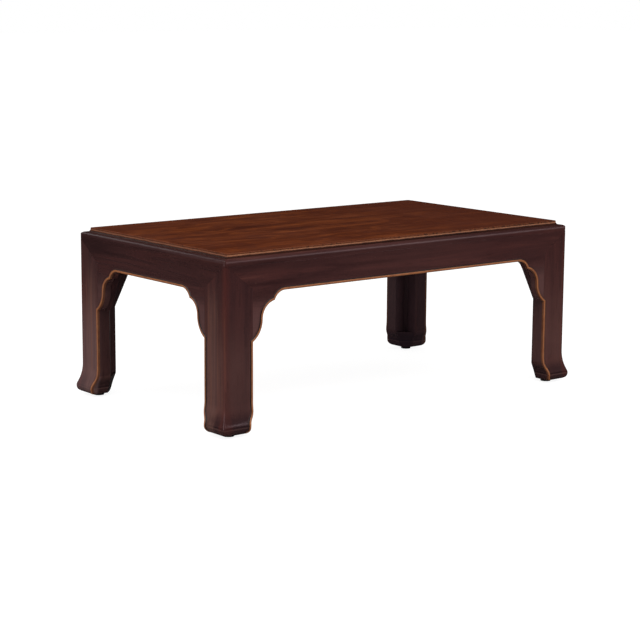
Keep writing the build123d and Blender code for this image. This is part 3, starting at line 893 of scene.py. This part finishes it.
def nail_finish():
    """Dull steel of the hidden nails."""
    material, tree, shader, coords = finish_of("nail_steel")
    marks = use(tree, MARKS, Place=coords, Size=5.0)
    colour = ramp(tree, marks["Rubbed"], [(0.3, tint(96, 90, 84)), (0.7, tint(150, 148, 146))])
    coat(tree, shader, colour, between(tree, marks["Specks"], 0.0, 1.0, 0.42, 0.6))
    shader.inputs["Metallic"].default_value = 1.0
    relief(tree, shader, marks["Height"], 0.2, 0.0005)
    return material


LACQUER_LONG = lacquer("lacquer_long_grain", LONG, 1.0)
LACQUER_CROSS = lacquer("lacquer_end_grain_side", CROSS, 2.0)
LACQUER_UPRIGHT = lacquer("lacquer_upright_grain", UPRIGHT, 5.0)
FIGURED_TOP = figured_top()
LIPPING_LONG = lipping_finish("lipping_long", LONG, 4.0)
LIPPING_CROSS = lipping_finish("lipping_cross", CROSS, 6.0)
BEAD_LONG = bead_finish("bead_on_long_apron", LONG)
BEAD_CROSS = bead_finish("bead_on_end_apron", CROSS)
BEAD_UPRIGHT = bead_finish("bead_on_leg", UPRIGHT)
DEAL = tint(178, 142, 100), tint(128, 92, 58)
DEAL_LONG = plain_wood("plain_wood_long", LONG, *DEAL)
DEAL_CROSS = plain_wood("plain_wood_cross", CROSS, *DEAL)
DEAL_UPRIGHT = plain_wood("plain_wood_upright", UPRIGHT, *DEAL)
CORE_BOARD = plain_wood("core_board", LONG, tint(150, 116, 82), tint(108, 78, 52))
GLIDE_PLASTIC = glide_finish()
NAIL_STEEL = nail_finish()


# ---------------------------------------------------------------- aprons and legs
def crisp_arrises(leg):
    """Draw the wide chamfer beside each front and back opening out to a small ease."""
    width, near = LONG_SIDE.leg_width, 0.0003
    for vertex in leg.data.vertices:
        x, y, _ = vertex.co
        run, depth = HALF_LENGTH - abs(x), HALF_DEPTH - abs(y)
        on_end = abs(run - width) < near
        on_back = abs(depth - LIMB_THICKNESS) < near
        if on_end and abs(depth - LIMB_THICKNESS + ARRIS_CHAMFER) < near:
            vertex.co.y = math.copysign(HALF_DEPTH - LIMB_THICKNESS + ARRIS_EASE, y)
        elif on_back and abs(run - width + ARRIS_CHAMFER) < near:
            vertex.co.x = math.copysign(HALF_LENGTH - width + ARRIS_EASE, x)


def plane_heel(leg, to_right, to_back):
    """Plane the foot's inner corner flush with the limbs above it."""
    run = HEEL_TO - HEEL_FROM
    start = Vector(
        (to_right * (HALF_LENGTH - HEEL_FROM.x), to_back * (HALF_DEPTH - HEEL_FROM.y), 0)
    )
    saw(leg, start, Vector((-to_right * run.y, to_back * run.x, 0)))


def eased_copy(node, width, corner=None):
    """A copy of a node's solid with its arrises taken off and its curves smoothed."""
    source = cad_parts[node]
    copy = bpy.data.objects.new(node + "_copy", source.data.copy())
    bpy.context.scene.collection.objects.link(copy)
    tidy(copy, dissolve=True)
    if corner:
        crisp_arrises(copy)
        plane_heel(copy, *corner)
    ease(copy, width, 38, miter_outer="MITER_ARC")
    return smooth(copy)


for side, finish in (
    ("front", LACQUER_LONG), ("back", LACQUER_LONG),
    ("left", LACQUER_CROSS), ("right", LACQUER_CROSS),
):
    place(eased_copy(side + "_apron", APRON_EASE), side + "_apron", finish)
for back, to_back in (("front", -1), ("back", 1)):
    for right, to_right in (("left", -1), ("right", 1)):
        node = f"{back}_{right}_leg"
        leg = eased_copy(node, LEG_EASE, corner=(to_right, to_back))
        place(leg, node, LACQUER_UPRIGHT)


# ---------------------------------------------------------------- knee blocks
def knee_block(side):
    """Wedge glued behind a bracket: it widens the leg upwards as far as the cleat."""
    def lay(along, across, up):
        return (along, across, up) if side.along == "X" else (across, along, up)
    face = HALF_DEPTH if side.along == "X" else HALF_LENGTH
    middle = (APRON_THICKNESS + LIMB_THICKNESS) / 2 - face
    low, spread = side.knee_low, side.knee_spread
    height = CLEAT_LOW - low
    bpy.ops.object.select_all(action="DESELECT")
    bpy.ops.mesh.primitive_cube_add(
        size=1,
        location=lay(spread / 2 - side.foot, middle, low + height / 2),
        scale=lay(spread, LIMB_THICKNESS - APRON_THICKNESS, height),
    )
    block = settle(bpy.context.object)
    slope = Vector(lay(height, 0, -spread)).normalized()
    saw(block, lay(-side.foot, middle, low), slope)
    arris = Vector(lay(-side.foot, LIMB_THICKNESS - face, low))
    outwards = (slope + Vector(lay(0, 1, 0))).normalized()
    saw(block, arris - outwards * KNEE_CHAMFER, outwards)
    return smooth(ease(tidy(block), KNEE_EASE, 20))


def knee_blocks():
    """Two knee blocks in each corner: one behind the long side, one behind the end."""
    for side in (LONG_SIDE, END_SIDE):
        for copy, corner in four_corners(knee_block(side)):
            copy.name = f"{corner}_{side.face}_knee_block"
            copy.data.materials.clear()
            copy.data.materials.append(LACQUER_UPRIGHT)
            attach(copy, "root")


knee_blocks()


# ---------------------------------------------------------------- mouldings of the top
def rail_section():
    """Section of a frame rail: (inwards from the face, height), with a quarter-round nose."""
    crest = NOSE_LOW + NOSE_RADIUS
    nose, _ = arc((0, NOSE_LOW), (NOSE_RADIUS, crest), (0, 1), 12)
    return (
        [Vector((0, FRAME_LOW)), Vector((0, NOSE_LOW))] + nose
        + [Vector((COVE_FOOT, crest)), Vector((COVE_FOOT, FRAME_TOP))]
        + [Vector((RAIL_WIDTH, FRAME_TOP)), Vector((RAIL_WIDTH, FRAME_LOW))]
    )


def lipping_section():
    """Section of a lipping: a cove that spreads to its foot, and an eased arris."""
    crest = NOSE_LOW + NOSE_RADIUS
    cove_top = Vector((PANEL_INSET, COVE_TOP))
    arris_low = Vector((PANEL_INSET, PANEL_ARRIS_LOW))
    cove, _ = arc(cove_top, (COVE_FOOT, crest), (0.02, -1), 8)
    arris, _ = arc(arris_low, (PANEL_INSET + PANEL_ARRIS_WIDTH, HEIGHT), (0, 1), 6)
    back = PANEL_INSET + LIPPING_WIDTH
    seat = PANEL_INSET + VENEER_INSET
    return (
        [Vector((COVE_FOOT, FRAME_TOP))] + cove[::-1] + [cove_top, arris_low] + arris
        + [Vector((seat, HEIGHT)), Vector((seat, VENEER_LOW))]
        + [Vector((back, VENEER_LOW)), Vector((back, FRAME_TOP))]
    )


def moulding(name, section, side):
    """A section drawn out along one side of the top and mitred at both ends."""
    spare = 0.01
    start, run = -side.half - spare, 2 * side.half + 2 * spare
    bpy.ops.object.select_all(action="DESELECT")
    bpy.ops.mesh.primitive_circle_add(vertices=len(section), fill_type="NGON")
    bar = bpy.context.object
    bar.name = name
    for vertex, (inward, height) in zip(bar.data.vertices, section):
        if side.along == "X":
            vertex.co = (start, inward - HALF_DEPTH, height)
        else:
            vertex.co = (inward - HALF_LENGTH, start, height)
    bpy.ops.object.mode_set(mode="EDIT")
    bpy.ops.mesh.select_all(action="SELECT")
    bpy.ops.mesh.extrude_region_move(
        TRANSFORM_OT_translate={"value": (run, 0, 0) if side.along == "X" else (0, run, 0)}
    )
    bpy.ops.object.mode_set(mode="OBJECT")
    for end in (-1, 1):
        if side.along == "X":
            saw(bar, (end * HALF_LENGTH, -HALF_DEPTH, 0), (end, 1, 0))
        else:
            saw(bar, (-HALF_LENGTH, end * HALF_DEPTH, 0), (1, end, 0))
    return tidy(bar)


def round_plan():
    """Upright block with the frame's rounded corners, to trim the rails to."""
    height = 0.1
    bpy.ops.object.select_all(action="DESELECT")
    bpy.ops.mesh.primitive_cube_add(
        size=1, location=(0, 0, FRAME_TOP), scale=(2 * HALF_LENGTH, 2 * HALF_DEPTH, height)
    )
    block = settle(bpy.context.object)
    corners = block.data.vertices
    uprights = []
    for edge in block.data.edges:
        low, high = (corners[index].co.z for index in edge.vertices)
        uprights.append(abs(high - low) > height / 2)
    bpy.ops.object.mode_set(mode="EDIT")
    bpy.ops.mesh.select_mode(type="EDGE")
    bpy.ops.mesh.select_all(action="DESELECT")
    bpy.ops.object.mode_set(mode="OBJECT")
    block.data.edges.foreach_set("select", uprights)
    bpy.ops.object.mode_set(mode="EDIT")
    bpy.ops.mesh.bevel(offset=CORNER_RADIUS, segments=8)
    bpy.ops.object.mode_set(mode="OBJECT")
    return block


def top_rails():
    """Mitred frame of the top with its rounded nose."""
    trim = round_plan()
    for side, finish in ((LONG_SIDE, LACQUER_LONG), (END_SIDE, LACQUER_CROSS)):
        rail = moulding("rail", rail_section(), side)
        apply_modifier(rail, "BOOLEAN", operation="INTERSECT", object=trim, solver="EXACT")
        smooth(ease(tidy(rail), RAIL_EASE, 40), 40)
        place_pair(rail, side, "frame_rail", finish)
    bpy.data.objects.remove(trim)


def top_lippings():
    """Mitred edge of the raised panel."""
    for side, finish in ((LONG_SIDE, LIPPING_LONG), (END_SIDE, LIPPING_CROSS)):
        lipping = smooth(moulding("lipping", lipping_section(), side), 35)
        place_pair(lipping, side, "lipping", finish)


top_rails()
top_lippings()


# ---------------------------------------------------------------- beads
def stand_up(bead, along):
    """Turn a bead drawn flat (sideways, height, proud) onto the front or the left face."""
    for vertex in bead.data.vertices:
        sideways, height, proud = vertex.co
        if along == "X":
            vertex.co = (sideways, -HALF_DEPTH - proud, height)
        else:
            vertex.co = (-HALF_LENGTH - proud, -sideways, height)
    return bead


def apron_beads():
    """One bead along each apron's lower edge, mitred at the cusps."""
    for side, finish in ((LONG_SIDE, BEAD_LONG), (END_SIDE, BEAD_CROSS)):
        right = bracket(side)
        tail = (right[-1] - right[-2]).normalized() * APRON_BEAD_SPARE
        right = right + [right[-1] + tail]
        left = [Vector((-point.x, point.y)) for point in right[::-1]]
        bead = run_bead("bead", left + right)
        for end in (-1, 1):
            foot = Vector((end * side.foot, side.cusp, 0))
            saw(bead, foot, Vector((end * side.mitre_slope, -1, 0)))
        stand_up(bead, side.along)
        smooth(tidy(bead), 50)
        place_pair(bead, side, "apron_bead", finish)


def leg_edge(side):
    """Inner edge of a leg's face, from the heel up to just above the cusp."""
    inner = side.leg_width
    tucking = Vector((inner - HEEL_TUCK / 2, (HEEL_TOP + HEEL_LOW) / 2))
    tucked = Vector((inner - HEEL_TUCK, HEEL_LOW))
    upper, heading = arc((inner, HEEL_TOP), tucking, (0, -1), 8)
    lower, _ = arc(tucking, tucked, heading, 8)
    heel, _ = arc(tucked, (inner - HEEL_REACH, SOLE_TOP), (0, -1), 8)
    heights = [side.cusp + LEG_BEAD_SPARE, side.cusp, 0.18, 0.14, 0.11, 0.09, FOOT_TOP]
    heights += [0.077, 0.074, 0.071, 0.068, 0.065, HEEL_TOP]
    points = [Vector((inner, height)) for height in heights] + upper + lower + heel
    return points[::-1]


def leg_beads():
    """A bead down each of the inner edges of a leg's two faces, curling out with the foot."""
    for side in (LONG_SIDE, END_SIDE):
        path = [Vector((point.x - side.half, point.y)) for point in leg_edge(side)]
        bead = run_bead("bead", path)
        saw(bead, (-side.foot, side.cusp, 0), (side.mitre_slope, 1, 0))
        for vertex in bead.data.vertices:
            vertex.co.z += curl_at(vertex.co.y)
        saw(bead, (0, BEAD_END, 0), (0, -1, 0))
        stand_up(bead, side.along)
        if side.along == "Y":
            bead.data.transform(Matrix.Diagonal((1, -1, 1, 1)))
        smooth(tidy(bead), 50)
        for copy, corner in four_corners(bead):
            place(copy, f"{corner}_leg_{side.face}_bead", BEAD_UPRIGHT)


apron_beads()
leg_beads()

# ---------------------------------------------------------------- parts that keep their solids
KEPT = {
    "top_veneer": FIGURED_TOP,
    "top_core": CORE_BOARD,
    "front_cleat": DEAL_LONG,
    "back_cleat": DEAL_LONG,
    "left_cleat": DEAL_CROSS,
    "right_cleat": DEAL_CROSS,
    "left_batten": DEAL_CROSS,
    "right_batten": DEAL_CROSS,
    "frame_splines": DEAL_LONG,
}
for name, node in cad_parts.items():
    finish = KEPT.get(name)
    if name.endswith("corner_block"):
        finish = DEAL_UPRIGHT
    elif name.endswith("glide"):
        finish = GLIDE_PLASTIC
    elif name.endswith("nails"):
        finish = NAIL_STEEL
    if finish:
        for slot_at in node.material_slots:
            slot_at.material = finish

# ---------------------------------------------------------------- floor, light and camera
CAMERA_PLACE = (-2.9227, -3.6248, 1.0031)
YAW, PITCH, ROLL = (math.radians(angle) for angle in (38.6518, 10.11339, 0.37368))
LENS = 105.56
WHITE = (1, 1, 1, 1)
FLOOR_SEEN, FLOOR_GLOW = (0.25, 0.25, 0.25, 1), 0.90
FLOOR_LIGHTING, FLOOR_REFLECTED = (0.45, 0.45, 0.45, 1), (0.05, 0.05, 0.05, 1)
ROOM_LIGHTING, ROOM_REFLECTED = (0.60, 0.60, 0.61, 1), (0.005, 0.005, 0.006, 1)


def studio_floor():
    """Floor that looks nearly white, lights the table less and is dim in its reflections."""
    bpy.ops.object.select_all(action="DESELECT")
    bpy.ops.mesh.primitive_plane_add(size=60, location=(0, 0, 0))
    floor = bpy.context.object
    floor.name = "floor"
    material = bpy.data.materials.new("pale_floor")
    material.use_nodes = True
    tree = material.node_tree
    tree.nodes.clear()
    path = tree.nodes.new("ShaderNodeLightPath").outputs
    matt = tree.nodes.new("ShaderNodeBsdfDiffuse")
    unseen = over(tree, path["Is Glossy Ray"], FLOOR_LIGHTING, FLOOR_REFLECTED)
    feed(tree, matt.inputs["Color"], unseen)
    seen = tree.nodes.new("ShaderNodeBsdfDiffuse")
    seen.inputs["Color"].default_value = FLOOR_SEEN
    glow = tree.nodes.new("ShaderNodeEmission")
    glow.inputs["Strength"].default_value = FLOOR_GLOW
    both = tree.nodes.new("ShaderNodeAddShader")
    mix = tree.nodes.new("ShaderNodeMixShader")
    out = tree.nodes.new("ShaderNodeOutputMaterial")
    for source, socket in (
        (seen.outputs[0], both.inputs[0]),
        (glow.outputs[0], both.inputs[1]),
        (path["Is Camera Ray"], mix.inputs[0]),
        (matt.outputs[0], mix.inputs[1]),
        (both.outputs[0], mix.inputs[2]),
        (mix.outputs[0], out.inputs["Surface"]),
    ):
        tree.links.new(source, socket)
    floor.data.materials.append(material)


def studio_world():
    """White to the camera, pale grey as light and nearly black in reflections."""
    world = bpy.data.worlds.new("studio")
    bpy.context.scene.world = world
    world.use_nodes = True
    tree = world.node_tree
    back = tree.nodes["Background"]
    path = tree.nodes.new("ShaderNodeLightPath").outputs
    room = over(tree, path["Is Glossy Ray"], ROOM_LIGHTING, ROOM_REFLECTED)
    feed(tree, back.inputs["Color"], over(tree, path["Is Camera Ray"], room, WHITE))
    back.inputs["Strength"].default_value = 1.0


def softbox(name, location, aim, size, power):
    """An area light of a size in metres and a power in watts, turned to what it aims at."""
    data = bpy.data.lights.new(name, "AREA")
    data.shape = "RECTANGLE"
    data.size, data.size_y = size
    data.energy = power
    light = bpy.data.objects.new(name, data)
    bpy.context.scene.collection.objects.link(light)
    light.location = location
    light.rotation_euler = (Vector(aim) - Vector(location)).to_track_quat("-Z", "Y").to_euler()


def take_camera():
    """Camera at the viewing angle that shows the front and the left end."""
    forward = Vector(
        (math.sin(YAW) * math.cos(PITCH), math.cos(YAW) * math.cos(PITCH), -math.sin(PITCH))
    )
    right = Vector((math.cos(YAW), -math.sin(YAW), 0))
    up = right.cross(forward)
    x_axis = right * math.cos(ROLL) + up * math.sin(ROLL)
    y_axis = up * math.cos(ROLL) - right * math.sin(ROLL)
    data = bpy.data.cameras.new("camera")
    data.lens = LENS
    data.sensor_width = 36
    data.clip_end = 100
    camera = bpy.data.objects.new("camera", data)
    bpy.context.scene.collection.objects.link(camera)
    turn = Matrix((x_axis, y_axis, -forward)).transposed().to_4x4()
    camera.matrix_world = Matrix.Translation(CAMERA_PLACE) @ turn
    bpy.context.scene.camera = camera


studio_floor()
studio_world()
softbox("overhead", (-0.9, -0.5, 2.6), (0, 0, 0.2), (1.8, 1.8), 44)
softbox("left_side", (-3.0, 0.9, 1.0), (-0.4, 0, 0.25), (1.6, 1.6), 19)
softbox("front", (2.3, -2.7, 1.95), (0.1, 0, 0.25), (1.8, 0.7), 22)
softbox("camera_side", (-0.7, -2.6, 3.1), (0, 0, 0.25), (2.0, 1.4), 55)
softbox("back_left", (-1.0, 2.9, 2.1), (-0.3, 0, 0.3), (1.6, 0.5), 5)
take_camera()
bpy.context.scene.view_settings.view_transform = "Standard"
